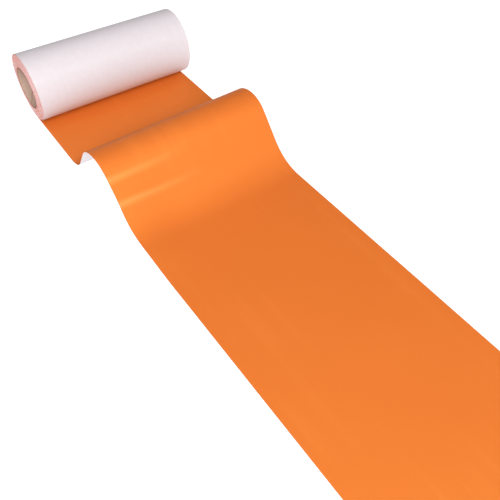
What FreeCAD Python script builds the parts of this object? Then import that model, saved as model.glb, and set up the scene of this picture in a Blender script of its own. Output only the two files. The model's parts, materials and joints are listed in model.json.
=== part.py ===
"""Roll of wide adhesive grip tape on a paper core, with its leading end run out and rucked once.

The tape is a face film with its adhesive coat, wound with a release liner that stays outermost.
Millimetres. The origin is the centre of the core's bore: +Y along the bore, +X the way the tape
runs out, +Z up. The run-out tape lies on the plane that the roll stands on.
"""
import FreeCAD, Part
import math
import os

import Sketcher

SIZES = (
    ("tape_width", 228.6, "width of the tape, nine inches"),
    ("film_thick", 0.15, "face film with its adhesive coat"),
    ("liner_thick", 0.08, "release liner"),
    ("core_bore", 50.8, "bore diameter of the core, two inches"),
    ("telescope", 1.75, "how far the core and the first turn stand out at the left end"),
    ("inner_ply", 0.35, "paper that lines the bore"),
    ("board_ply", 0.5, "one ply of the chipboard wall"),
    ("board_plies", 4, "plies of chipboard in the wall"),
    ("outer_ply", 0.45, "kraft paper on the outside of the core"),
    ("strip_thick", 0.06, "double-sided strip that holds the start of the tape"),
    ("strip_width", 19.0, "width of that strip around the core"),
    ("strip_margin", 6.0, "how far the strip stops short of each edge of the tape"),
    ("inner_turns", 61, "turns that are wound solid"),
    ("outer_turns", 8, "turns outside them that are drawn one by one"),
    ("running_gap", 0.3, "clearance between the turning roll and the outermost turn"),
    ("lead_length", 111.2, "flat tape from under the bore to the ruck"),
    ("ruck_height", 64.2, "height of the ruck's crest"),
    ("rise_angle", 57.0, "slope of the ruck's side towards the roll, in degrees"),
    ("fall_angle", 47.5, "slope of its other side, in degrees"),
    ("rise_foot_radius", 41.1, "bend where the tape leaves the floor"),
    ("crest_radius", 38.1, "bend over the crest"),
    ("fall_foot_radius", 70.1, "bend where the tape comes down again"),
    ("run_out_length", 441.2, "flat tape from the ruck to the cut end"),
)
# Lengths and radii, from the bore outwards, as expressions of the sheet's cells.
STRIP_LENGTH = "(Sizes.tape_width - 2 * Sizes.strip_margin)"
BORE_RADIUS = "(Sizes.core_bore / 2)"
BOARD_RADIUS = f"({BORE_RADIUS} + Sizes.inner_ply)"
KRAFT_RADIUS = f"({BOARD_RADIUS} + Sizes.board_plies * Sizes.board_ply)"
CORE_RADIUS = f"({KRAFT_RADIUS} + Sizes.outer_ply)"
WOUND_RADIUS = f"({CORE_RADIUS} + Sizes.strip_thick)"
PITCH = "(Sizes.film_thick + Sizes.liner_thick)"
SOLID_RADIUS = f"({WOUND_RADIUS} + Sizes.inner_turns * {PITCH})"
# A turn climbs by one pitch as it goes round, so n turns end n + 1 pitches above their start.
LOOSE_RADIUS = f"({SOLID_RADIUS} + (Sizes.outer_turns + 1) * {PITCH} + Sizes.running_gap)"
ROLL_RADIUS = f"({LOOSE_RADIUS} + 2 * {PITCH})"

doc = FreeCAD.newDocument("GripTapeRoll")
sheet = doc.addObject("Spreadsheet::Sheet", "Sizes")
for row, (alias, value, meaning) in enumerate(SIZES, start=1):
    sheet.set(f"A{row}", meaning)
    sheet.set(f"B{row}", str(value))
    sheet.setAlias(f"B{row}", alias)
doc.recompute()

pieces = []


def size(expression):
    """The number that an expression of the sheet's cells comes to."""
    return float(sheet.evalExpression(expression))


def add_body(label):
    body = doc.addObject("PartDesign::Body", label)
    body.Label = label
    pieces.append(body)
    return body


def add_sketch(body, name, plane):
    """An empty sketch on one of the body's own origin planes."""
    sketch = body.newObject("Sketcher::SketchObject", name)
    planes = [item for item in body.Origin.OriginFeatures if item.Role == plane]
    sketch.AttachmentSupport = (planes[0], [""])
    sketch.MapMode = "FlatFace"
    return sketch


def bind(sketch, kind, geometry, expression):
    """A dimension in a sketch that follows the sheet."""
    number = sketch.addConstraint(Sketcher.Constraint(kind, *geometry, size(expression)))
    sketch.setExpression(f"Constraints[{number}]", expression)


def add_rectangle(sketch, left, bottom, width, height):
    """A rectangle in a sketch, placed and sized by four expressions."""
    low = FreeCAD.Vector(size(left), size(bottom), 0)
    high = low + FreeCAD.Vector(size(width), size(height), 0)
    corners = [low, FreeCAD.Vector(high.x, low.y, 0), high, FreeCAD.Vector(low.x, high.y, 0)]
    for side, corner in enumerate(corners):
        sketch.addGeometry(Part.LineSegment(corner, corners[(side + 1) % 4]), False)
    for side in range(4):
        sketch.addConstraint(Sketcher.Constraint("Coincident", side, 2, (side + 1) % 4, 1))
        level = "Horizontal" if side % 2 == 0 else "Vertical"
        sketch.addConstraint(Sketcher.Constraint(level, side))
    bind(sketch, "DistanceX", (0, 1, 0, 2), width)
    bind(sketch, "DistanceY", (1, 1, 1, 2), height)
    bind(sketch, "DistanceX", (-1, 1, 0, 1), left)
    bind(sketch, "DistanceY", (-1, 1, 0, 1), bottom)


def add_pad(body, sketch, length):
    """The sketch thickened equally to both sides of its plane."""
    pad = body.newObject("PartDesign::Pad", "Pad")
    pad.Profile = sketch
    pad.SideType = "Symmetric"
    pad.setExpression("Length", length)


def add_ring(label, inner, outer):
    """A tube around the bore's axis, as long as the tape is wide and flush with its first turn."""
    body = add_body(label)
    body.setExpression("Placement.Base.y", "-Sizes.telescope")
    sketch = add_sketch(body, "RingSection", "XZ_Plane")
    centre, normal = FreeCAD.Vector(0, 0, 0), FreeCAD.Vector(0, 0, 1)
    for radius in (inner, outer):
        circle = sketch.addGeometry(Part.Circle(centre, normal, size(radius)), False)
        sketch.addConstraint(Sketcher.Constraint("Coincident", circle, 3, -1, 1))
        bind(sketch, "Radius", (circle,), radius)
    add_pad(body, sketch, "Sizes.tape_width")


def add_flat_layer(label, start, length, low, thickness):
    """A flat layer of the run-out tape; low is its underside's height above the floor."""
    body = add_body(label)
    sketch = add_sketch(body, "LayerSection", "XZ_Plane")
    add_rectangle(sketch, start, f"{low} - {ROLL_RADIUS}", length, thickness)
    add_pad(body, sketch, "Sizes.tape_width")


def add_core():
    """Spiral-wound paper tube: its plies from the bore outwards, each glued to the last."""
    add_ring("core_inner_ply", BORE_RADIUS, BOARD_RADIUS)
    for ply in range(int(size("Sizes.board_plies"))):
        inner = f"({BOARD_RADIUS} + {ply} * Sizes.board_ply)"
        outer = f"({BOARD_RADIUS} + {ply + 1} * Sizes.board_ply)"
        add_ring(f"core_middle_ply_{ply + 1}", inner, outer)
    add_ring("core_outer_ply", KRAFT_RADIUS, CORE_RADIUS)


def add_starting_strip():
    """Strip along the core's underside, under the start of the first turn."""
    body = add_body("starting_strip")
    body.setExpression("Placement.Base.y", "-Sizes.telescope")
    sketch = add_sketch(body, "StripSection", "YZ_Plane")
    add_rectangle(sketch, f"-{STRIP_LENGTH} / 2", f"-{WOUND_RADIUS}", STRIP_LENGTH, "Sizes.strip_thick")
    turn = body.newObject("PartDesign::Revolution", "Revolution")
    turn.Profile = sketch
    turn.ReferenceAxis = (sketch, ["H_Axis"])
    turn.Reversed = True
    turn.setExpression("Angle", f"Sizes.strip_width / {CORE_RADIUS} * 180 / pi")


class Course:
    """The underside of the tape, seen along +Y, as lines and arcs that run on from each other.

    Each stretch keeps its start, its heading and its turn to the left; the tape's layers lie to
    the left of it, which is the inside of the roll and the top of the run-out tape.
    """

    def __init__(self, x, z, heading=0.0):
        self.x, self.z, self.heading = x, z, heading
        self.stretches = []

    def line(self, length):
        self.stretches.append((self.x, self.z, self.heading, 0.0, length))
        self.x += length * math.cos(self.heading)
        self.z += length * math.sin(self.heading)

    def arc(self, radius, turn):
        """An arc that turns by an angle in radians, to the left where that is positive."""
        self.stretches.append((self.x, self.z, self.heading, turn, radius))
        side = math.copysign(radius, turn)
        self.x += side * (math.sin(self.heading + turn) - math.sin(self.heading))
        self.z -= side * (math.cos(self.heading + turn) - math.cos(self.heading))
        self.heading += turn

    def edges(self, offset):
        """The course moved to its left by offset, as edges, with its first and last points."""
        edges, ends = [], []
        for x, z, heading, turn, measure in self.stretches:
            start = FreeCAD.Vector(x - offset * math.sin(heading), 0, z + offset * math.cos(heading))
            if turn:
                radius = measure - math.copysign(offset, turn)
                centre_side = math.copysign(radius, turn)
                centre = start + FreeCAD.Vector(
                    -centre_side * math.sin(heading), 0, centre_side * math.cos(heading)
                )
                middle, end = [
                    centre + FreeCAD.Vector(
                        centre_side * math.sin(heading + turn * share), 0,
                        -centre_side * math.cos(heading + turn * share),
                    )
                    for share in (0.5, 1.0)
                ]
                edges.append(Part.Arc(start, middle, end).toShape())
            else:
                end = start + FreeCAD.Vector(measure * math.cos(heading), 0, measure * math.sin(heading))
                edges.append(Part.makeLine(start, end))
            ends += [start, end]
        return edges, ends[0], ends[-1]


def add_layer(label, course, low, high):
    """One layer of the tape along a course, between two heights above its underside."""
    under, under_start, under_end = course.edges(low)
    over, over_start, over_end = course.edges(high)
    caps = [Part.makeLine(under_end, over_end), Part.makeLine(over_start, under_start)]
    outline = Part.Wire(under + [caps[0]] + over[::-1] + [caps[1]])
    half_width = size("Sizes.tape_width") / 2
    outline.translate(FreeCAD.Vector(0, -half_width, 0))
    layer = doc.addObject("Part::Feature", label)
    layer.Shape = Part.Face(outline).extrude(FreeCAD.Vector(0, 2 * half_width, 0))
    layer.Label = label
    layer.Placement = FreeCAD.Placement()
    pieces.append(layer)


def add_laminate(film_label, liner_label, course):
    """The film and its liner along the same course, with the liner underneath."""
    liner, film = size("Sizes.liner_thick"), size("Sizes.film_thick")
    add_layer(film_label, course, liner, liner + film)
    add_layer(liner_label, course, 0.0, liner)


def wound_course(inner_radius, turns):
    """Turns from under the bore round to there again, in half circles that each grow by half a pitch."""
    radius = inner_radius + size(PITCH)
    course = Course(0.0, -radius)
    for _ in range(2 * turns):
        course.arc(radius, math.pi)
        radius += size(PITCH) / 2
    return course


def ruck_course():
    """Foot, straight side, crest, straight side, foot: it ends on the floor where it began."""
    rise, fall = (math.radians(size(f"Sizes.{name}_angle")) for name in ("rise", "fall"))
    radius_up, radius_over, radius_down = (
        size(f"Sizes.{name}_radius") for name in ("rise_foot", "crest", "fall_foot")
    )
    height = size("Sizes.ruck_height")
    course = Course(size("Sizes.lead_length"), -size(ROLL_RADIUS))
    course.arc(radius_up, rise)
    course.line((height - (radius_up + radius_over) * (1 - math.cos(rise))) / math.sin(rise))
    course.arc(radius_over, -rise - fall)
    course.line((height - (radius_over + radius_down) * (1 - math.cos(fall))) / math.sin(fall))
    course.arc(radius_down, fall)
    return course


def add_wound_tape():
    """The turns wound solid: each stands out a little less at the left end than the one inside it."""
    body = add_body("wound_tape")
    sketch = add_sketch(body, "WoundSection", "XY_Plane")
    inner, outer = size(WOUND_RADIUS), size(SOLID_RADIUS)
    half, shift = size("Sizes.tape_width") / 2, size("Sizes.telescope")
    corners = [
        FreeCAD.Vector(inner, -half - shift, 0), FreeCAD.Vector(outer, -half, 0),
        FreeCAD.Vector(outer, half, 0), FreeCAD.Vector(inner, half - shift, 0),
    ]
    for side, corner in enumerate(corners):
        sketch.addGeometry(Part.LineSegment(corner, corners[(side + 1) % 4]), False)
    for side in range(4):
        sketch.addConstraint(Sketcher.Constraint("Coincident", side, 2, (side + 1) % 4, 1))
    for side in (1, 3):
        sketch.addConstraint(Sketcher.Constraint("Vertical", side))
    bind(sketch, "DistanceX", (-1, 1, 0, 1), WOUND_RADIUS)
    bind(sketch, "DistanceX", (-1, 1, 1, 1), SOLID_RADIUS)
    bind(sketch, "DistanceY", (1, 1, -1, 1), "Sizes.tape_width / 2")
    bind(sketch, "DistanceY", (1, 1, 1, 2), "Sizes.tape_width")
    bind(sketch, "DistanceY", (3, 2, 3, 1), "Sizes.tape_width")
    bind(sketch, "DistanceY", (0, 1, 0, 2), "Sizes.telescope")
    turn = body.newObject("PartDesign::Revolution", "Revolution")
    turn.Profile = sketch
    turn.ReferenceAxis = (sketch, ["V_Axis"])
    turn.Angle = 360


def add_roll():
    """The wound tape that turns with the core."""
    add_wound_tape()
    turns = wound_course(size(SOLID_RADIUS), int(size("Sizes.outer_turns")))
    add_laminate("upper_turns_film", "upper_turns_liner", turns)


def add_run_out_tape():
    """The outermost turn and the tape that has left the roll, as far as the cut end."""
    add_laminate("outermost_turn_film", "outermost_turn_liner", wound_course(size(LOOSE_RADIUS), 1))
    ruck = ruck_course()
    add_laminate("ruck_film", "ruck_liner", ruck)
    flats = (("lead", "0", "Sizes.lead_length"), ("run_out", str(ruck.x), "Sizes.run_out_length"))
    for name, start, length in flats:
        add_flat_layer(f"{name}_film", start, length, "Sizes.liner_thick", "Sizes.film_thick")
        add_flat_layer(f"{name}_liner", start, length, "0", "Sizes.liner_thick")


def check_document():
    """Nothing is written unless every object computed and every piece is a sound solid."""
    doc.recompute()
    for item in doc.Objects:
        faults = {"Invalid", "Error"} & set(item.State)
        if faults:
            raise RuntimeError(f"{item.Label}: {faults}")
    for piece in pieces:
        shape = piece.Shape
        if shape.isNull() or not shape.isValid() or shape.Volume <= 0:
            raise RuntimeError(f"{piece.Label} is not a sound solid")


add_core()
add_starting_strip()
add_roll()
add_run_out_tape()
check_document()
os.makedirs("parts", exist_ok=True)
for piece in pieces:
    piece.Shape.exportStep(f"parts/{piece.Label}.step")
    print(piece.Label, round(piece.Shape.Volume, 1), piece.Shape.BoundBox)
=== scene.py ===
"""Roll of wide orange grip tape on its paper core, with the leading end run out and rucked once.

Metres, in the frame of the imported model: the origin is the centre of the core's bore, +Y along the
bore, +X the way the tape runs out, +Z up.
"""
import json
import math
import random

import bpy
from mathutils import Euler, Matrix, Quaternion, Vector


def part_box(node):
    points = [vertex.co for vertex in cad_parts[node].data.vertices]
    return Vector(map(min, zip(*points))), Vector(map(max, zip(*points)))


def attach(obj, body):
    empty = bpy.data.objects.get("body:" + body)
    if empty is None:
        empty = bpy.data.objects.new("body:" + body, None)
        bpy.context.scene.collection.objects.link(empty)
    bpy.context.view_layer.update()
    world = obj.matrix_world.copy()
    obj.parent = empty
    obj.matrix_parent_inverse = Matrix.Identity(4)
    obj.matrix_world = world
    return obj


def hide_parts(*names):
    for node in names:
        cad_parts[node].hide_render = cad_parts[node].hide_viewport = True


bl_info = {
    "name": "Grip Tape Roll",
    "version": (1, 0, 0),
    "blender": (4, 5, 0),
    "location": "3D View > Sidebar > Tape",
    "description": "Winds a roll of grip tape on its core and runs its leading end out over the floor",
    "category": "Object",
}

MM = 0.001
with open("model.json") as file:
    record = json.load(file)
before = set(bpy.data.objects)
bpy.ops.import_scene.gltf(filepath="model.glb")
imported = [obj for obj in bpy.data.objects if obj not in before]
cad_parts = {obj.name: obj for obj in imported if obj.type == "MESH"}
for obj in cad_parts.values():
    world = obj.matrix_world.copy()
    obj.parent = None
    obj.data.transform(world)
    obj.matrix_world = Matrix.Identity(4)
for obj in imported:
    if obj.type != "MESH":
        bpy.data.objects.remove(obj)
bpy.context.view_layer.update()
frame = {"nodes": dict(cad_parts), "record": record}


def span(node):
    """How far a node of the frame reaches along X, Y and Z."""
    low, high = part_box(node)
    return high - low


# The run-out tape: heights of the floor and of the crest above it, and places along X
TAPE_WIDTH = span("run_out_film").y
LEFT_EDGE = -TAPE_WIDTH / 2
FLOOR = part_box("run_out_liner")[0].z
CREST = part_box("ruck_liner")[1].z - FLOOR - span("run_out_liner").z
RUCK_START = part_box("ruck_film")[0].x
RUCK_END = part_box("run_out_film")[0].x
CUT_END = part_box("run_out_film")[1].x

# The core and the wound tape: radii, a ply's thickness, and the core's ends along Y
BORE_RADIUS = next(m["dims"]["r_mm"] for m in frame["record"]["mounts"] if m["name"] == "core_bore") * MM
BOARD_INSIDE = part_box("core_inner_ply")[1].x
BOARD_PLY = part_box("core_middle_ply_1")[1].x - BOARD_INSIDE
WOUND_INSIDE = -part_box("starting_strip")[0].z
WOUND_OUTSIDE = -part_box("upper_turns_liner")[0].z
CORE_LEFT, CORE_RIGHT = (corner.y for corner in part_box("core_outer_ply"))

# Rows and columns of faces
FLAT_ROWS, FALL_ROWS, RISE_ROWS, LEAD_ROWS = 40, 16, 10, 16
TAPE_COLUMNS = 24
HALF_TURN_ROWS = 36
LINING_ROWS, LINING_COLUMNS = 72, 6
FLOOR_CELLS = 40

# How far a vertex may be from where it is looked for, how near vertices are merged, and the bend above
# which an edge stays sharp
SLACK = MM / 10
MERGE_GAP = MM / 100
SHARP_EDGE = math.radians(40)

# What handling did to the tape. Each crease: how far down the ruck's long side it lies, from 0 at the
# crest to 1 at the foot, and how much of the tape's width it crosses from the left edge.
CREASES = ((0.08, 0.45), (0.88, 0.52))
CREASE_STEPS = 12
# The part of the ruck above this share of its height is skewed about the crest's place along the ruck.
SKEWED_ABOVE = 0.6
CREST_PLACE = 0.44
SKEW_REACH = 53 * MM
# The stretch of the left edge that stands off the floor, measured from the ruck's end towards the roll.
LIFT_NEAREST, LIFT_FARTHEST = 9 * MM, 36 * MM
LIFT_REACH = 72 * MM
# Slight swells of the flat stretch: the seed of their places, their number, half width, smallest and
# largest reach and height in millimetres, and how far their middles keep from the ruck, the cut end and
# the long edges.
SWELL_SEED = 11
SWELLS = 14
SWELL_HALF_WIDTH = 9 * MM
SWELL_REACHES_MM = (45, 85)
SWELL_HEIGHTS_MM = (0.15, 0.5)
SWELLS_PAST_RUCK, SWELLS_BEFORE_CUT, SWELLS_INSIDE_EDGES = 45 * MM, 25 * MM, 15 * MM

# The lights look at the floor under the ruck's long side, from these headings and heights in degrees.
LIGHT_AIM = Vector((RUCK_END * 0.84, 0, FLOOR))
LIGHT_PLACES = {"left_light": (-50, 30), "near_light": (-22, 42), "right_light": (40, 45),
                "high_light": (-15, 60), "top_light": (0, 88), "back_light": (-150, 50)}
LIGHT_DISTANCE = 2.6
LIGHT_SIZE = 0.98
# How far the floor reaches to each side, and how far it lies below the tape.
FLOOR_REACH = 20.0
FLOOR_GAP = 0.05 * MM


class TapeSizes(bpy.types.PropertyGroup):
    """Sizes of the tape, and of the ruck in its run-out end"""

    film: bpy.props.FloatProperty(
        name="Film", description="Thickness of the face film with its adhesive coat",
        default=span("run_out_film").z, min=0.01 * MM, precision=5, unit="LENGTH")
    liner: bpy.props.FloatProperty(
        name="Liner", description="Thickness of the release liner",
        default=span("run_out_liner").z, min=0.01 * MM, precision=5, unit="LENGTH")
    rise_angle: bpy.props.FloatProperty(
        name="Rise", description="Slope of the ruck's side towards the roll",
        default=math.radians(57), subtype="ANGLE")
    fall_angle: bpy.props.FloatProperty(
        name="Fall", description="Slope of the ruck's side towards the cut end",
        default=math.radians(47.5), subtype="ANGLE")
    rise_foot: bpy.props.FloatProperty(
        name="Rise foot", description="Radius of the bend where the tape leaves the floor",
        default=41.1 * MM, unit="LENGTH")
    crest_bend: bpy.props.FloatProperty(
        name="Crest bend", description="Radius of the bend over the crest",
        default=38.1 * MM, unit="LENGTH")
    fall_foot: bpy.props.FloatProperty(
        name="Fall foot", description="Radius of the bend where the tape comes down again",
        default=70.1 * MM, unit="LENGTH")
    edge_lift: bpy.props.FloatProperty(
        name="Edge lift", description="How far the left edge stands off the floor at the ruck's foot",
        default=3.8 * MM, unit="LENGTH")
    crest_skew: bpy.props.FloatProperty(
        name="Crest skew", description="How far the ruck is out of square with the tape",
        default=math.radians(1.15), subtype="ANGLE")
    crease_height: bpy.props.FloatProperty(
        name="Crease height", description="Height of the soft creases at the ruck's left edge",
        default=0.4 * MM, unit="LENGTH")
    crease_reach: bpy.props.FloatProperty(
        name="Crease reach", description="How far such a crease reaches to each side",
        default=4.5 * MM, unit="LENGTH")
    # Strength of the pale highlight streak painted along each crease.
    crease_highlight_strength: bpy.props.FloatProperty(
        name="Crease stress", description="How much the crease stretched the pigment pale",
        default=0.5, min=0, max=1, subtype="FACTOR")


class RollSizes(bpy.types.PropertyGroup):
    """How evenly the tape and the core's lining were wound"""

    telescope: bpy.props.FloatProperty(
        name="Telescope", description="How far the first turn stands out past the last one",
        default=LEFT_EDGE - CORE_LEFT, unit="LENGTH")
    wander: bpy.props.FloatProperty(
        name="Wander", description="How far the tape wandered sideways while it was wound",
        default=0.12 * MM, unit="LENGTH")
    wander_rings: bpy.props.IntProperty(
        name="Wander rings", description="How many times the wander shows across the wound face",
        default=5, min=1)
    ply_advance: bpy.props.FloatProperty(
        name="Ply advance", description="How far the lining ply climbs along the core in one turn",
        default=84 * MM, unit="LENGTH")
    ply_gap: bpy.props.FloatProperty(
        name="Ply gap", description="Open seam between two turns of the lining ply",
        default=0.6 * MM, unit="LENGTH")


class TapeColours(bpy.types.PropertyGroup):
    """Colours of the materials, as sRGB hex values"""

    vinyl: bpy.props.StringProperty(
        name="Vinyl", description="Colour of the face film, sRGB hex", default="D56B2A")
    vinyl_light: bpy.props.StringProperty(
        name="Vinyl, light", description="Where the film's pigment lies a little thinner",
        default="DA7230")
    # Pale orange painted along the creases as their highlight streaks.
    vinyl_crease_highlight: bpy.props.StringProperty(
        name="Vinyl, stressed", description="Where the film was stretched over a crease",
        default="F09C58")
    slit_edge: bpy.props.StringProperty(
        name="Slit edge", description="Colour of the film's edges in the wound face", default="C6502C")
    slit_edge_pale: bpy.props.StringProperty(
        name="Slit edge, pale", description="Where the knife left those edges pale", default="D2643E")
    paper: bpy.props.StringProperty(
        name="Release paper", description="Colour of the liner, sRGB hex", default="D1C9CD")
    paper_cloud: bpy.props.StringProperty(
        name="Paper cloud", description="Where the liner's fibres lie thin", default="CDC5C9")
    lining: bpy.props.StringProperty(
        name="Core lining", description="Colour of the paper inside the bore", default="B4998A")
    lining_fibre: bpy.props.StringProperty(
        name="Core lining fibres", description="Darker fibres in that paper", default="977B6B")
    # The chipboard's brown, painted redder with the orange film's bounce light and darker with the shade at
    # the bore's rim.
    board: bpy.props.StringProperty(
        name="Chipboard", description="Colour of the core's wall at its ends", default="96543F")
    board_line: bpy.props.StringProperty(
        name="Chipboard glue line", description="Dark line between two plies", default="6A3A2A")
    strip: bpy.props.StringProperty(
        name="Starting strip", description="Colour of the adhesive strip", default="E8E2CC")
    strip_tissue: bpy.props.StringProperty(
        name="Strip tissue", description="Fibres of the tissue in that strip", default="D4CFBB")
    floor: bpy.props.StringProperty(
        name="Floor", description="Colour of the floor", default="8C8C8C")
    floor_cloud: bpy.props.StringProperty(
        name="Floor, shaded", description="Where the floor is a little duller", default="888888")
    floor_light: bpy.props.StringProperty(
        name="Floor light", description="Colour of the light under the floor", default="FFFFFF")


class StageSetup(bpy.types.PropertyGroup):
    """The camera and the strengths of the light"""

    camera_place: bpy.props.FloatVectorProperty(
        name="Camera place", description="Where the camera stands",
        default=(0.683, -0.2747, 0.441), subtype="TRANSLATION", unit="LENGTH")
    heading: bpy.props.FloatProperty(
        name="Heading", description="Which way the camera looks, turned from +Y towards -X",
        default=math.radians(50.4), subtype="ANGLE")
    look_down: bpy.props.FloatProperty(
        name="Look down", description="How far below level the camera looks",
        default=math.radians(50.0), subtype="ANGLE")
    roll: bpy.props.FloatProperty(
        name="Roll", description="How far the camera is tilted on its own axis",
        default=math.radians(3.7), subtype="ANGLE")
    lens: bpy.props.FloatProperty(
        name="Lens", description="Focal length on a 36 mm sensor, in millimetres", default=39.74)
    left_light: bpy.props.FloatProperty(
        name="Left light", description="Power of the low light at the tape's left",
        default=41.0, subtype="POWER")
    near_light: bpy.props.FloatProperty(
        name="Near light", description="Power of the light that stands beside the camera",
        default=37.0, subtype="POWER")
    right_light: bpy.props.FloatProperty(
        name="Right light", description="Power of the weak light past the tape's right edge",
        default=9.0, subtype="POWER")
    high_light: bpy.props.FloatProperty(
        name="High light", description="Power of the weak light above the camera",
        default=9.0, subtype="POWER")
    top_light: bpy.props.FloatProperty(
        name="Top light", description="Power of the weak light overhead",
        default=8.0, subtype="POWER")
    back_light: bpy.props.FloatProperty(
        name="Back light", description="Power of the weak light behind the roll",
        default=5.0, subtype="POWER")
    ambient: bpy.props.FloatProperty(
        name="Ambient", description="Strength of the plain surroundings", default=0.15)
    floor_glow: bpy.props.FloatProperty(
        name="Floor glow", description="How brightly the floor is lit from below", default=1.0)


# Making meshes by hand


def clear_selection():
    """Object mode, with nothing selected."""
    if bpy.context.mode != "OBJECT":
        bpy.ops.object.mode_set(mode="OBJECT")
    bpy.ops.object.select_all(action="DESELECT")


def work_on(piece):
    """Makes a piece the only one that the next operator acts on."""
    clear_selection()
    piece.select_set(True)
    bpy.context.view_layer.objects.active = piece


def pick(piece, test):
    """Edit mode, with the vertices selected whose places pass the test."""
    work_on(piece)
    bpy.ops.object.mode_set(mode="EDIT")
    bpy.ops.mesh.select_mode(type="VERT")
    bpy.ops.mesh.select_all(action="DESELECT")
    bpy.ops.object.mode_set(mode="OBJECT")
    for vertex in piece.data.vertices:
        vertex.select = test(vertex.co)
    bpy.ops.object.mode_set(mode="EDIT")


def add_grid(name, low, high, columns, rows):
    """A flat grid between two corners at the same height, with its object at the origin."""
    clear_selection()
    bpy.ops.mesh.primitive_grid_add(x_subdivisions=columns, y_subdivisions=rows, size=1)
    piece = bpy.context.object
    piece.name = piece.data.name = name
    piece.location = (low + high) / 2
    piece.scale = (high.x - low.x, high.y - low.y, 1)
    bpy.ops.object.transform_apply(location=True, rotation=True, scale=True)
    return piece


def add_row(name, left, right, height, columns=1):
    """One row of edges along Y, straight above or below the bore's axis."""
    low, high = Vector((0, left, height)), Vector((MM, right, height))
    piece = add_grid(name, low, high, 1, columns)
    pick(piece, lambda place: place.x > MM / 2)
    bpy.ops.mesh.delete(type="VERT")
    bpy.ops.object.mode_set(mode="OBJECT")
    return piece


def copy_of(piece, name):
    """A copy with its own mesh."""
    work_on(piece)
    bpy.ops.object.duplicate()
    copy = bpy.context.object
    copy.name = copy.data.name = name
    return copy


def join(parts, name, gap):
    """Joins pieces into one and merges the vertices that are closer than the gap."""
    clear_selection()
    for part in parts:
        part.select_set(True)
    bpy.context.view_layer.objects.active = parts[0]
    bpy.ops.object.join()
    piece = bpy.context.object
    piece.name = piece.data.name = name
    bpy.ops.object.mode_set(mode="EDIT")
    bpy.ops.mesh.select_all(action="SELECT")
    bpy.ops.mesh.remove_doubles(threshold=gap)
    bpy.ops.mesh.normals_make_consistent(inside=False)
    bpy.ops.object.mode_set(mode="OBJECT")
    return piece


def apply_modifier(piece, kind, **settings):
    """Adds a modifier to a piece, sets it up and applies it."""
    work_on(piece)
    modifier = piece.modifiers.new(kind.title(), kind)
    for setting, value in settings.items():
        setattr(modifier, setting, value)
    bpy.ops.object.modifier_apply(modifier=modifier.name)


def thicken(piece, thickness):
    """Gives a surface its thickness on the side that its faces look to."""
    apply_modifier(piece, "SOLIDIFY", thickness=thickness, offset=1, use_even_offset=True)
    bpy.ops.object.shade_smooth_by_angle(angle=SHARP_EDGE)


# Materials

# The sockets by which a Mix node blends colours, and the middle range of a noise.
FIRST_COLOUR, SECOND_COLOUR, MIXED_COLOUR = 6, 7, 2
MIDDLE = {"From Min": 0.3, "From Max": 0.7}
# The share, at each vertex, of the pale highlight painted along a crease.
CREASE_HIGHLIGHT_MARK = "stress_mark"


def linear(code):
    """The linear colour of an sRGB hex value, with full opacity."""
    channels = [int(code[start:start + 2], 16) / 255 for start in (0, 2, 4)]
    return [c / 12.92 if c <= 0.04045 else ((c + 0.055) / 1.055) ** 2.4 for c in channels] + [1]


def scale_of(*sizes):
    """The scale at which a pattern's marks are as large as this, in millimetres along X, Y and Z."""
    scales = [1 / (size * MM) for size in sizes]
    return scales if len(scales) > 1 else scales[0]


def add_node(material, kind, inputs, **fields):
    """Adds a node with its fields, and its inputs as plain values or as links from outputs."""
    node = material.node_tree.nodes.new(kind)
    for field, value in fields.items():
        setattr(node, field, value)
    for socket, value in inputs.items():
        if isinstance(value, bpy.types.NodeSocket):
            material.node_tree.links.new(value, node.inputs[socket])
        else:
            node.inputs[socket].default_value = value
    return node.outputs


def new_material(name):
    """An empty material, and the piece's own coordinates in it."""
    material = bpy.data.materials.new(name)
    material.use_nodes = True
    material.node_tree.nodes.clear()
    return material, add_node(material, "ShaderNodeTexCoord", {})["Object"]


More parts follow.
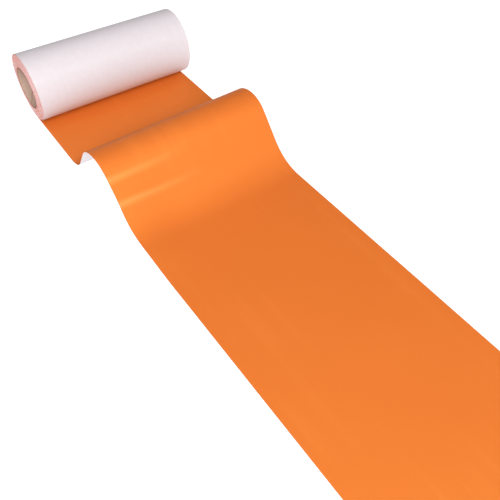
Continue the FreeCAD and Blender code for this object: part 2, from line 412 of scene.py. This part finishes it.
def make_vinyl(colours):
    """Calendered PVC film: satin, smooth to the eye, with the faint lengthwise draw lines of the calender
    rolls and a slight unevenness of gloss that only shows where light glances off it. Pale highlight
    streaks are painted along the creases."""
    material, place = new_material("calendered_vinyl_film")
    cloud = add_node(material, "ShaderNodeTexNoise", {"Vector": place, "Scale": scale_of(140)})["Fac"]
    # Draw lines: broad ones 17 mm apart, and fine ones 2.4 mm apart, both far longer than wide.
    broad = add_node(material, "ShaderNodeMapping", {"Vector": place, "Scale": scale_of(650, 17, 650)})
    draw = add_node(material, "ShaderNodeTexNoise",
                    {"Vector": broad["Vector"], "Scale": 1.0, "Detail": 3.0})["Fac"]
    narrow = add_node(material, "ShaderNodeMapping", {"Vector": place, "Scale": scale_of(125, 2.4, 125)})
    fine = add_node(material, "ShaderNodeTexNoise", {"Vector": narrow["Vector"], "Scale": 1.0})["Fac"]
    thin = add_node(material, "ShaderNodeMath", {0: cloud, 1: draw}, operation="MULTIPLY")["Value"]
    amount = add_node(material, "ShaderNodeMapRange",
                      {**MIDDLE, "Value": thin, "To Min": 0.0, "To Max": 1.6})["Result"]
    tint = add_node(material, "ShaderNodeMix", {
        "Factor": amount,
        FIRST_COLOUR: linear(colours.vinyl),
        SECOND_COLOUR: linear(colours.vinyl_light),
    }, data_type="RGBA")[MIXED_COLOUR]
    # Painted highlight: pale streaks along the creases, mixed in by the share in that attribute.
    crease_highlight = add_node(material, "ShaderNodeAttribute", {}, attribute_name=CREASE_HIGHLIGHT_MARK)["Fac"]
    tint = add_node(material, "ShaderNodeMix", {
        "Factor": crease_highlight,
        FIRST_COLOUR: tint,
        SECOND_COLOUR: linear(colours.vinyl_crease_highlight),
    }, data_type="RGBA")[MIXED_COLOUR]
    # Orange-peel of a calendered film, about 1.5 mm across and a few micrometres deep.
    peel = add_node(material, "ShaderNodeTexNoise",
                    {"Vector": place, "Scale": scale_of(1.5), "Detail": 1.0})["Fac"]
    relief = add_node(material, "ShaderNodeMath", {0: fine, 1: 0.6, 2: peel}, operation="MULTIPLY_ADD")
    normal = add_node(material, "ShaderNodeBump",
                      {"Height": relief["Value"], "Distance": 0.012 * MM, "Strength": 1.0})["Normal"]
    patchy = add_node(material, "ShaderNodeMath", {0: draw, 1: peel}, operation="MULTIPLY")["Value"]
    gloss = add_node(material, "ShaderNodeMapRange",
                     {**MIDDLE, "Value": patchy, "To Min": 0.55, "To Max": 0.64})["Result"]
    shader = add_node(material, "ShaderNodeBsdfPrincipled", {
        "Base Color": tint,
        "Roughness": gloss,
        "IOR": 1.53,
        "Specular IOR Level": 0.95,
        # The satin coat is full of the pigment, so what it throws back is warm and not white.
        "Specular Tint": linear("FFD670"),
        "Normal": normal,
    })
    add_node(material, "ShaderNodeOutputMaterial", {"Surface": shader["BSDF"]})
    return material


def make_slit_edge(colours):
    """The film's slit edges, wound tight: matte, and deeper and redder than its face, because light
    sinks in between the turns."""
    material, place = new_material("slit_vinyl_edge")
    # Each turn's edge was burnished a little differently by the slitting knife, about 6 mm by 6 mm.
    knife = add_node(material, "ShaderNodeTexNoise",
                     {"Vector": place, "Scale": scale_of(6), "Detail": 3.0})["Fac"]
    amount = add_node(material, "ShaderNodeMapRange",
                      {**MIDDLE, "Value": knife, "To Min": 0.0, "To Max": 1.0})["Result"]
    tint = add_node(material, "ShaderNodeMix", {
        "Factor": amount,
        FIRST_COLOUR: linear(colours.slit_edge),
        SECOND_COLOUR: linear(colours.slit_edge_pale),
    }, data_type="RGBA")[MIXED_COLOUR]
    normal = add_node(material, "ShaderNodeBump",
                      {"Height": knife, "Distance": 0.03 * MM, "Strength": 1.0})["Normal"]
    rough = add_node(material, "ShaderNodeMapRange",
                     {**MIDDLE, "Value": knife, "To Min": 0.62, "To Max": 0.75})["Result"]
    shader = add_node(material, "ShaderNodeBsdfPrincipled", {
        "Base Color": tint,
        "Roughness": rough,
        "IOR": 1.53,
        "Specular IOR Level": 0.3,
        "Normal": normal,
    })
    add_node(material, "ShaderNodeOutputMaterial", {"Surface": shader["BSDF"]})
    return material


def make_release_paper(colours):
    """Silicone-coated bleached kraft: close, slightly cool white with a soft gloss, the cloudy
    look of its fibres and a hint of the rolls' lengthwise grain."""
    material, place = new_material("silicone_release_paper")
    cloud = add_node(material, "ShaderNodeTexNoise",
                     {"Vector": place, "Scale": scale_of(6.3), "Detail": 4.0, "Roughness": 0.6})["Fac"]
    along = add_node(material, "ShaderNodeMapping", {"Vector": place, "Scale": scale_of(17, 3.8, 17)})
    grain = add_node(material, "ShaderNodeTexNoise",
                     {"Vector": along["Vector"], "Scale": 1.0, "Detail": 3.0})["Fac"]
    amount = add_node(material, "ShaderNodeMapRange",
                      {**MIDDLE, "Value": cloud, "To Min": 0.0, "To Max": 1.0})["Result"]
    tint = add_node(material, "ShaderNodeMix", {
        "Factor": amount,
        FIRST_COLOUR: linear(colours.paper),
        SECOND_COLOUR: linear(colours.paper_cloud),
    }, data_type="RGBA")[MIXED_COLOUR]
    # Fibres about 0.5 mm across, drawn coarser than the paper's own so that they show.
    fibre = add_node(material, "ShaderNodeTexNoise", {"Vector": place, "Scale": scale_of(0.5)})["Fac"]
    relief = add_node(material, "ShaderNodeMath", {0: fibre, 1: cloud}, operation="ADD")["Value"]
    normal = add_node(material, "ShaderNodeBump",
                      {"Height": relief, "Distance": 0.015 * MM, "Strength": 1.0})["Normal"]
    gloss = add_node(material, "ShaderNodeMapRange",
                     {**MIDDLE, "Value": grain, "To Min": 0.42, "To Max": 0.52})["Result"]
    shader = add_node(material, "ShaderNodeBsdfPrincipled", {
        "Base Color": tint,
        "Roughness": gloss,
        "IOR": 1.47,
        "Specular IOR Level": 0.35,
        "Normal": normal,
    })
    add_node(material, "ShaderNodeOutputMaterial", {"Surface": shader["BSDF"]})
    return material


def make_lining(colours):
    """Kraft liner paper of the core: dull tan, with short darker fibres that run round the bore."""
    material, place = new_material("kraft_core_lining")
    around = add_node(material, "ShaderNodeMapping", {"Vector": place, "Scale": scale_of(1.4, 6, 1.4)})
    fibres = add_node(material, "ShaderNodeTexNoise", {
        "Vector": around["Vector"], "Scale": 1.0, "Detail": 4.0, "Roughness": 0.65})["Fac"]
    patches = add_node(material, "ShaderNodeTexNoise", {"Vector": place, "Scale": scale_of(22)})["Fac"]
    shade = add_node(material, "ShaderNodeMath", {0: fibres, 1: patches}, operation="MULTIPLY")["Value"]
    amount = add_node(material, "ShaderNodeMapRange",
                      {**MIDDLE, "Value": shade, "To Min": -0.2, "To Max": 2.4})["Result"]
    tint = add_node(material, "ShaderNodeMix", {
        "Factor": amount,
        FIRST_COLOUR: linear(colours.lining),
        SECOND_COLOUR: linear(colours.lining_fibre),
    }, data_type="RGBA")[MIXED_COLOUR]
    normal = add_node(material, "ShaderNodeBump",
                      {"Height": fibres, "Distance": 0.04 * MM, "Strength": 1.0})["Normal"]
    rough = add_node(material, "ShaderNodeMapRange",
                     {**MIDDLE, "Value": fibres, "To Min": 0.8, "To Max": 0.95})["Result"]
    shader = add_node(material, "ShaderNodeBsdfPrincipled", {
        "Base Color": tint,
        "Roughness": rough,
        "IOR": 1.45,
        "Specular IOR Level": 0.25,
        "Normal": normal,
    })
    add_node(material, "ShaderNodeOutputMaterial", {"Surface": shader["BSDF"]})
    return material


def make_board(colours):
    """Grey-brown chipboard cut across: a rough end grain in which each ply's edge shows, darker
    where the cutter burnished the glue line. Its colour is painted redder and darker than that grey-brown,
    with the orange film's bounce light and the shade at the bore's rim."""
    material, place = new_material("cut_chipboard")
    parts = add_node(material, "ShaderNodeSeparateXYZ", {"Vector": place})
    across = add_node(material, "ShaderNodeCombineXYZ", {"X": parts["X"], "Y": parts["Z"]})["Vector"]
    radius = add_node(material, "ShaderNodeVectorMath", {0: across}, operation="LENGTH")["Value"]
    depth = add_node(material, "ShaderNodeMath", {0: radius, 1: BOARD_INSIDE}, operation="SUBTRACT")
    # A glue line at each whole number of plies: the distance to the nearest one, made narrow.
    to_line = add_node(material, "ShaderNodeMath", {0: depth["Value"], 1: BOARD_PLY},
                       operation="PINGPONG")["Value"]
    share = add_node(material, "ShaderNodeMath", {0: to_line, 1: BOARD_PLY}, operation="DIVIDE")["Value"]
    fibres = add_node(material, "ShaderNodeTexNoise", {
        "Vector": place, "Scale": scale_of(1.1), "Detail": 4.0, "Roughness": 0.7})["Fac"]
    mottle = add_node(material, "ShaderNodeMapRange",
                      {**MIDDLE, "Value": fibres, "To Min": 0.0, "To Max": 0.5})["Result"]
    line = add_node(material, "ShaderNodeMath", {0: share, 1: 7.0}, operation="POWER")["Value"]
    amount = add_node(material, "ShaderNodeMath", {0: line, 1: mottle}, operation="MAXIMUM")["Value"]
    # The board colour carries painted bounce light and painted shade; the dark glue lines are the board's
    # own.
    tint = add_node(material, "ShaderNodeMix", {
        "Factor": amount,
        FIRST_COLOUR: linear(colours.board),
        SECOND_COLOUR: linear(colours.board_line),
    }, data_type="RGBA")[MIXED_COLOUR]
    normal = add_node(material, "ShaderNodeBump",
                      {"Height": fibres, "Distance": 0.06 * MM, "Strength": 1.0})["Normal"]
    rough = add_node(material, "ShaderNodeMapRange",
                     {**MIDDLE, "Value": fibres, "To Min": 0.82, "To Max": 0.96})["Result"]
    shader = add_node(material, "ShaderNodeBsdfPrincipled", {
        "Base Color": tint,
        "Roughness": rough,
        "IOR": 1.45,
        "Specular IOR Level": 0.25,
        "Normal": normal,
    })
    add_node(material, "ShaderNodeOutputMaterial", {"Surface": shader["BSDF"]})
    return material


def make_strip(colours):
    """Transfer adhesive on tissue: pale, slightly yellow and glossy, with the tissue's fibres in it."""
    material, place = new_material("acrylic_transfer_strip")
    fibres = add_node(material, "ShaderNodeTexNoise", {
        "Vector": place, "Scale": scale_of(0.8), "Detail": 3.0, "Roughness": 0.6})["Fac"]
    amount = add_node(material, "ShaderNodeMapRange",
                      {**MIDDLE, "Value": fibres, "To Min": 0.0, "To Max": 1.0})["Result"]
    tint = add_node(material, "ShaderNodeMix", {
        "Factor": amount,
        FIRST_COLOUR: linear(colours.strip),
        SECOND_COLOUR: linear(colours.strip_tissue),
    }, data_type="RGBA")[MIXED_COLOUR]
    normal = add_node(material, "ShaderNodeBump",
                      {"Height": fibres, "Distance": 0.01 * MM, "Strength": 1.0})["Normal"]
    gloss = add_node(material, "ShaderNodeMapRange",
                     {**MIDDLE, "Value": fibres, "To Min": 0.2, "To Max": 0.35})["Result"]
    shader = add_node(material, "ShaderNodeBsdfPrincipled", {
        "Base Color": tint,
        "Roughness": gloss,
        "IOR": 1.48,
        "Normal": normal,
    })
    add_node(material, "ShaderNodeOutputMaterial", {"Surface": shader["BSDF"]})
    return material


def make_floor(colours, glow):
    """Matte translucent white acrylic, lit from below, so that it stays white and takes no shadow."""
    material, place = new_material("lit_acrylic_table")
    cloud = add_node(material, "ShaderNodeTexNoise", {"Vector": place, "Scale": scale_of(330)})["Fac"]
    amount = add_node(material, "ShaderNodeMapRange",
                      {**MIDDLE, "Value": cloud, "To Min": 0.0, "To Max": 1.0})["Result"]
    tint = add_node(material, "ShaderNodeMix", {
        "Factor": amount,
        FIRST_COLOUR: linear(colours.floor),
        SECOND_COLOUR: linear(colours.floor_cloud),
    }, data_type="RGBA")[MIXED_COLOUR]
    shader = add_node(material, "ShaderNodeBsdfPrincipled", {
        "Base Color": tint,
        "Roughness": 0.9,
        "Specular IOR Level": 0.0,
        "Emission Color": linear(colours.floor_light),
        "Emission Strength": glow,
    })
    add_node(material, "ShaderNodeOutputMaterial", {"Surface": shader["BSDF"]})
    return material


def give(piece, material):
    """Gives the whole piece one material."""
    if not piece.material_slots:
        piece.data.materials.append(material)
    for slot in piece.material_slots:
        slot.material = material


# The tape that has left the roll


class Course:
    """The tape's underside on its way from the cut end towards the roll, along -X."""

    rows_per_turn = 120

    def __init__(self, x, height):
        self.place = Vector((x, 0, height))
        self.slope = 0.0

    def upwards(self):
        """The side that the tape's face looks to."""
        return Vector((math.sin(self.slope), 0, math.cos(self.slope)))

    def straight(self, length, rows):
        """Goes straight on, in rows of equal length."""
        step = Vector((-math.cos(self.slope), 0, math.sin(self.slope))) * length / rows
        for _ in range(rows):
            bpy.ops.mesh.extrude_region_move(TRANSFORM_OT_translate={"value": step})
            self.place += step

    def bend(self, angle, radius):
        """Curls up for a positive angle and down for a negative one."""
        reach = math.copysign(radius, angle)
        centre = self.place + self.upwards() * reach
        steps = round(abs(angle) / math.tau * self.rows_per_turn)
        bpy.ops.mesh.spin(steps=steps, angle=angle, center=centre, axis=(0, -1, 0))
        self.slope += angle
        self.place = centre - self.upwards() * reach


def leg(crest, foot, bend, angle):
    """Length of a side of the ruck between the bend at its foot and the one at its crest."""
    return (crest - (foot + bend) * (1 - math.cos(angle))) / math.sin(angle)


def lay_course(sizes):
    """The underside of the run-out tape, from its cut end over the ruck and once round the roll."""
    low, high = Vector((RUCK_END, LEFT_EDGE, FLOOR)), Vector((CUT_END, -LEFT_EDGE, FLOOR))
    piece = add_grid("tape_course", low, high, FLAT_ROWS, TAPE_COLUMNS)
    pick(piece, lambda place: abs(place.x - RUCK_END) < SLACK)
    course = Course(RUCK_END, FLOOR)
    course.bend(sizes.fall_angle, sizes.fall_foot)
    course.straight(leg(CREST, sizes.fall_foot, sizes.crest_bend, sizes.fall_angle), FALL_ROWS)
    course.bend(-sizes.fall_angle - sizes.rise_angle, sizes.crest_bend)
    course.straight(leg(CREST, sizes.rise_foot, sizes.crest_bend, sizes.rise_angle), RISE_ROWS)
    course.bend(sizes.rise_angle, sizes.rise_foot)
    if abs(course.place.x - RUCK_START) > MM or abs(course.place.z - FLOOR) > SLACK:
        raise RuntimeError(f"the ruck comes down at {course.place}, and not where the lead ends")
    course.straight(course.place.x, LEAD_ROWS)
    # Once round the roll in two half circles, each smaller than the one before by half the laminate.
    pitch = sizes.film + sizes.liner
    for half in (1, 2):
        course.bend(math.pi, -FLOOR - half * pitch / 2)
    bpy.ops.object.mode_set(mode="OBJECT")
    return piece


def ease(piece, test, reach, shift=None, turn=None, centre=None):
    """Shifts part of the tape, or turns it about an upright line, and lets the tape around it follow."""
    pick(piece, test)
    soft = {"use_proportional_edit": True, "proportional_edit_falloff": "SMOOTH",
            "proportional_size": reach}
    if shift:
        bpy.ops.transform.translate(value=shift, **soft)
    if turn:
        bpy.ops.transform.rotate(value=turn, orient_axis="Z", center_override=centre, **soft)
    bpy.ops.object.mode_set(mode="OBJECT")


def crease(piece, sizes, place_on_fall, reach):
    """A soft ridge along Y on the ruck's long side, highest at the left edge and gone at its reach, with a
    pale highlight painted along it.
    """
    side = leg(CREST, sizes.fall_foot, sizes.crest_bend, sizes.fall_angle)
    x = RUCK_END - sizes.fall_foot * math.sin(sizes.fall_angle) - side * math.cos(sizes.fall_angle)
    x += place_on_fall * side * math.cos(sizes.fall_angle)
    outwards = Vector((math.sin(sizes.fall_angle), 0, math.cos(sizes.fall_angle)))
    # The part of the tape that is clear of the floor, and the rows nearest to the ridge.
    raised = FLOOR + CREST / 5
    nearest = 0.9 * MM
    step = reach / CREASE_STEPS
    for number in range(CREASE_STEPS):
        start = LEFT_EDGE + reach * number / CREASE_STEPS - SLACK
        left_over = 1 - number / CREASE_STEPS
        ease(piece, lambda place: place.z > raised and abs(place.x - x) < nearest
             and start <= place.y < start + step,
             sizes.crease_reach, shift=outwards * sizes.crease_height * left_over)
        # Paints the highlight streak: palest on the ridge and at the left edge, fading out across the
        # crease's reach.
        marks = piece.data.attributes[CREASE_HIGHLIGHT_MARK].data
        for vertex in piece.data.vertices:
            if vertex.co.z > raised and start <= vertex.co.y < start + step:
                share = sizes.crease_highlight_strength * left_over * (1 - abs(vertex.co.x - x) / sizes.crease_reach)
                mark = marks[vertex.index]
                mark.value = max(mark.value, share)


def relax_course(piece, sizes):
    """What handling did to the tape: creases, a skewed ruck, a lifted edge, and slight swells elsewhere."""
    piece.data.attributes.new(CREASE_HIGHLIGHT_MARK, "FLOAT", "POINT")
    for place_on_fall, share_of_width in CREASES:
        crease(piece, sizes, place_on_fall, TAPE_WIDTH * share_of_width)
    crest_x = RUCK_START + (RUCK_END - RUCK_START) * CREST_PLACE
    ease(piece, lambda place: place.z > FLOOR + CREST * SKEWED_ABOVE and place.x > RUCK_START,
         SKEW_REACH, turn=-sizes.crest_skew, centre=(crest_x, 0, 0))
    ease(piece, lambda place: place.y < LEFT_EDGE + MM
         and LIFT_NEAREST < RUCK_END - place.x < LIFT_FARTHEST,
         LIFT_REACH, shift=(0, 0, sizes.edge_lift))
    chance = random.Random(SWELL_SEED)
    for _ in range(SWELLS):
        x = chance.uniform(RUCK_END + SWELLS_PAST_RUCK, CUT_END - SWELLS_BEFORE_CUT)
        y = chance.uniform(LEFT_EDGE + SWELLS_INSIDE_EDGES, -LEFT_EDGE - SWELLS_INSIDE_EDGES)
        reach = chance.uniform(*SWELL_REACHES_MM) * MM
        height = chance.uniform(*SWELL_HEIGHTS_MM) * MM
        ease(piece, lambda place: abs(place.x - x) < SWELL_HALF_WIDTH
             and abs(place.y - y) < SWELL_HALF_WIDTH, reach, shift=(0, 0, height))


class TAPE_OT_run_out(bpy.types.Operator):
    """Lays the tape that has left the roll, as its face film on its release liner"""
    bl_idname = "tape.run_out"
    bl_label = "Run the tape out"

    def execute(self, context):
        sizes, colours = context.scene.tape_sizes, context.scene.tape_colours
        course = lay_course(sizes)
        # The faces all look to the tape's face side, which is the upper one at the cut end.
        bpy.ops.object.mode_set(mode="EDIT")
        bpy.ops.mesh.select_all(action="SELECT")
        bpy.ops.mesh.normals_make_consistent(inside=False)
        bpy.ops.object.mode_set(mode="OBJECT")
        if max(course.data.polygons, key=lambda face: face.center.x).normal.z < 0:
            bpy.ops.object.mode_set(mode="EDIT")
            bpy.ops.mesh.flip_normals()
            bpy.ops.object.mode_set(mode="OBJECT")
        relax_course(course, sizes)
        film = copy_of(course, "face_film")
        apply_modifier(film, "DISPLACE", strength=sizes.liner, mid_level=0, direction="NORMAL")
        thicken(film, sizes.film)
        give(film, make_vinyl(colours))
        thicken(course, sizes.liner)
        course.name = course.data.name = "release_liner"
        give(course, make_release_paper(colours))
        for piece, stem in ((film, "film"), (course, "liner")):
            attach(piece, "run_out_tape")
            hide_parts(*(f"{part}_{stem}" for part in ("outermost_turn", "lead", "ruck", "run_out")))
        return {"FINISHED"}


# The roll


def wind(name, layer_radius, sizes, pitch, turns):
    """One layer's inner face, wound outwards in half circles that each grow by half a pitch."""
    halves = []
    half_turns = 2 * turns
    left = LEFT_EDGE - sizes.telescope
    for number in range(half_turns):
        radius = layer_radius + number * pitch / 2
        done = number / half_turns
        start = side_shift(sizes, done)
        # The first half of a turn climbs on the +X side, and the second comes down on the other.
        climbing = number % 2 == 0
        row = add_row(f"{name}_{number}", left + start, left + TAPE_WIDTH + start,
                      -radius if climbing else radius)
        row.location.z = 0 if climbing else -pitch / 2
        advance = side_shift(sizes, (number + 1) / half_turns) - start
        apply_modifier(row, "SCREW", angle=-math.pi, axis="Y", screw_offset=advance,
                       steps=HALF_TURN_ROWS, render_steps=HALF_TURN_ROWS, use_normal_calculate=True)
        bpy.ops.object.transform_apply(location=True, rotation=True, scale=True)
        halves.append(row)
    return join(halves, name, pitch / 10)


def side_shift(sizes, done):
    """How far the tape has moved sideways after a share of its turns."""
    swing = math.sin(done * sizes.wander_rings * math.tau) * (1 - done) * sizes.wander
    return done * sizes.telescope + swing


class TAPE_OT_wind(bpy.types.Operator):
    """Winds film and liner together on the core, turn by turn"""
    bl_idname = "tape.wind"
    bl_label = "Wind the roll"

    def execute(self, context):
        sizes, roll = context.scene.tape_sizes, context.scene.roll_sizes
        pitch = sizes.film + sizes.liner
        # A turn climbs by one pitch as it goes round, so the last one ends a pitch above its start.
        turns = round((WOUND_OUTSIDE - WOUND_INSIDE) / pitch) - 1
        film = wind("wound_film", WOUND_INSIDE, roll, pitch, turns)
        liner = wind("wound_liner", WOUND_INSIDE + sizes.film, roll, pitch, turns)
        for piece, thickness in ((film, sizes.film), (liner, sizes.liner)):
            thicken(piece, thickness)
            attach(piece, "roll")
        give(film, make_slit_edge(context.scene.tape_colours))
        give(liner, bpy.data.materials["silicone_release_paper"])
        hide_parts("wound_tape", "upper_turns_film")
        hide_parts("upper_turns_liner")
        return {"FINISHED"}


class TAPE_OT_line_core(bpy.types.Operator):
    """Winds the paper ply that lines the bore, with its open helical seam"""
    bl_idname = "tape.line_core"
    bl_label = "Line the core"

    def execute(self, context):
        roll, colours = context.scene.roll_sizes, context.scene.tape_colours
        # The helix starts a turn before the core and ends past it, and is then cut square at both ends.
        turns = math.ceil((CORE_RIGHT - CORE_LEFT) / roll.ply_advance) + 2
        start = CORE_LEFT - roll.ply_advance
        end = start + roll.ply_advance - roll.ply_gap
        lining = add_row("core_lining", start, end, -BORE_RADIUS, LINING_COLUMNS)
        apply_modifier(lining, "SCREW", angle=math.tau, axis="Y", screw_offset=roll.ply_advance,
                       iterations=turns, steps=LINING_ROWS, render_steps=LINING_ROWS)
        for core_end, side in ((CORE_LEFT, -1), (CORE_RIGHT, 1)):
            pick(lining, lambda place: True)
            bpy.ops.mesh.bisect(plane_co=(0, core_end, 0), plane_no=(0, side, 0), clear_outer=True)
        bpy.ops.mesh.select_all(action="SELECT")
        bpy.ops.mesh.remove_doubles(threshold=MERGE_GAP)
        bpy.ops.mesh.normals_make_consistent(inside=False)
        bpy.ops.object.mode_set(mode="OBJECT")
        thicken(lining, BOARD_INSIDE - BORE_RADIUS)
        give(lining, make_lining(colours))
        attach(lining, "roll")
        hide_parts("core_inner_ply")
        return {"FINISHED"}


class TAPE_OT_finish_core(bpy.types.Operator):
    """Gives the board plies, the outer ply and the starting strip their finish"""
    bl_idname = "tape.finish_core"
    bl_label = "Finish the core"

    def execute(self, context):
        colours = context.scene.tape_colours
        board = make_board(colours)
        for name, node in frame["nodes"].items():
            if name.startswith("core_middle_ply"):
                give(node, board)
        give(frame["nodes"]["core_outer_ply"], bpy.data.materials["kraft_core_lining"])
        give(frame["nodes"]["starting_strip"], make_strip(colours))
        return {"FINISHED"}


# The stage


def add_light(name, heading, height, power):
    """A soft square light that stands at a heading from +X towards +Y and at a height, in degrees."""
    turn, climb = math.radians(heading), math.radians(height)
    towards = Vector((math.cos(turn) * math.cos(climb), math.sin(turn) * math.cos(climb), math.sin(climb)))
    clear_selection()
    rotation = towards.to_track_quat("Z", "Y").to_euler()
    bpy.ops.object.light_add(type="AREA", rotation=rotation,
                             location=LIGHT_AIM + towards * LIGHT_DISTANCE)
    light = bpy.context.object
    light.name = light.data.name = name
    light.data.size = LIGHT_SIZE
    light.data.energy = power


class TAPE_OT_set_stage(bpy.types.Operator):
    """Sets up the floor, the surroundings, the lights and the camera"""
    bl_idname = "tape.set_stage"
    bl_label = "Set the stage"

    def execute(self, context):
        stage, colours = context.scene.stage_setup, context.scene.tape_colours
        low = Vector((-FLOOR_REACH, -FLOOR_REACH, FLOOR - FLOOR_GAP))
        high = Vector((FLOOR_REACH, FLOOR_REACH, FLOOR - FLOOR_GAP))
        floor = add_grid("floor", low, high, FLOOR_CELLS, FLOOR_CELLS)
        give(floor, make_floor(colours, stage.floor_glow))
        world = bpy.data.worlds.new("studio")
        world.use_nodes = True
        surroundings = world.node_tree.nodes["Background"].inputs
        surroundings["Strength"].default_value = stage.ambient
        surroundings["Color"].default_value = linear("FFFFFF")
        context.scene.world = world
        for name, (heading, height) in LIGHT_PLACES.items():
            add_light(name, heading, height, getattr(stage, name))
        clear_selection()
        looking = Euler((math.pi / 2 - stage.look_down, 0, stage.heading)).to_quaternion()
        looking @= Quaternion((0, 0, 1), stage.roll)
        bpy.ops.object.camera_add(location=stage.camera_place, rotation=looking.to_euler())
        camera = bpy.context.object
        camera.data.lens = stage.lens
        camera.data.sensor_width = 36
        context.scene.camera = camera
        context.scene.view_settings.view_transform = "Standard"
        return {"FINISHED"}


class TAPE_PT_panel(bpy.types.Panel):
    """Sizes, colours and steps of the tape roll"""
    bl_label = "Grip Tape Roll"
    bl_idname = "TAPE_PT_panel"
    bl_space_type = "VIEW_3D"
    bl_region_type = "UI"
    bl_category = "Tape"

    def draw(self, context):
        for step in STEPS:
            self.layout.operator(step.bl_idname)
        for group in GROUPS:
            box = self.layout.box()
            settings = getattr(context.scene, group)
            for name in GROUPS[group].__annotations__:
                box.prop(settings, name)


GROUPS = {"tape_sizes": TapeSizes, "roll_sizes": RollSizes, "tape_colours": TapeColours,
          "stage_setup": StageSetup}
STEPS = (TAPE_OT_run_out, TAPE_OT_wind, TAPE_OT_line_core, TAPE_OT_finish_core, TAPE_OT_set_stage)


def register():
    for kind in (*GROUPS.values(), *STEPS, TAPE_PT_panel):
        bpy.utils.register_class(kind)
    for name, kind in GROUPS.items():
        setattr(bpy.types.Scene, name, bpy.props.PointerProperty(type=kind))


def unregister():
    for name in GROUPS:
        delattr(bpy.types.Scene, name)
    for kind in (TAPE_PT_panel, *reversed(STEPS), *reversed(GROUPS.values())):
        bpy.utils.unregister_class(kind)


def main():
    """Builds the roll with its run-out tape and sets the stage."""
    register()
    bpy.ops.tape.run_out()
    bpy.ops.tape.wind()
    bpy.ops.tape.line_core()
    bpy.ops.tape.finish_core()
    bpy.ops.tape.set_stage()


if __name__ == "__main__":
    main()
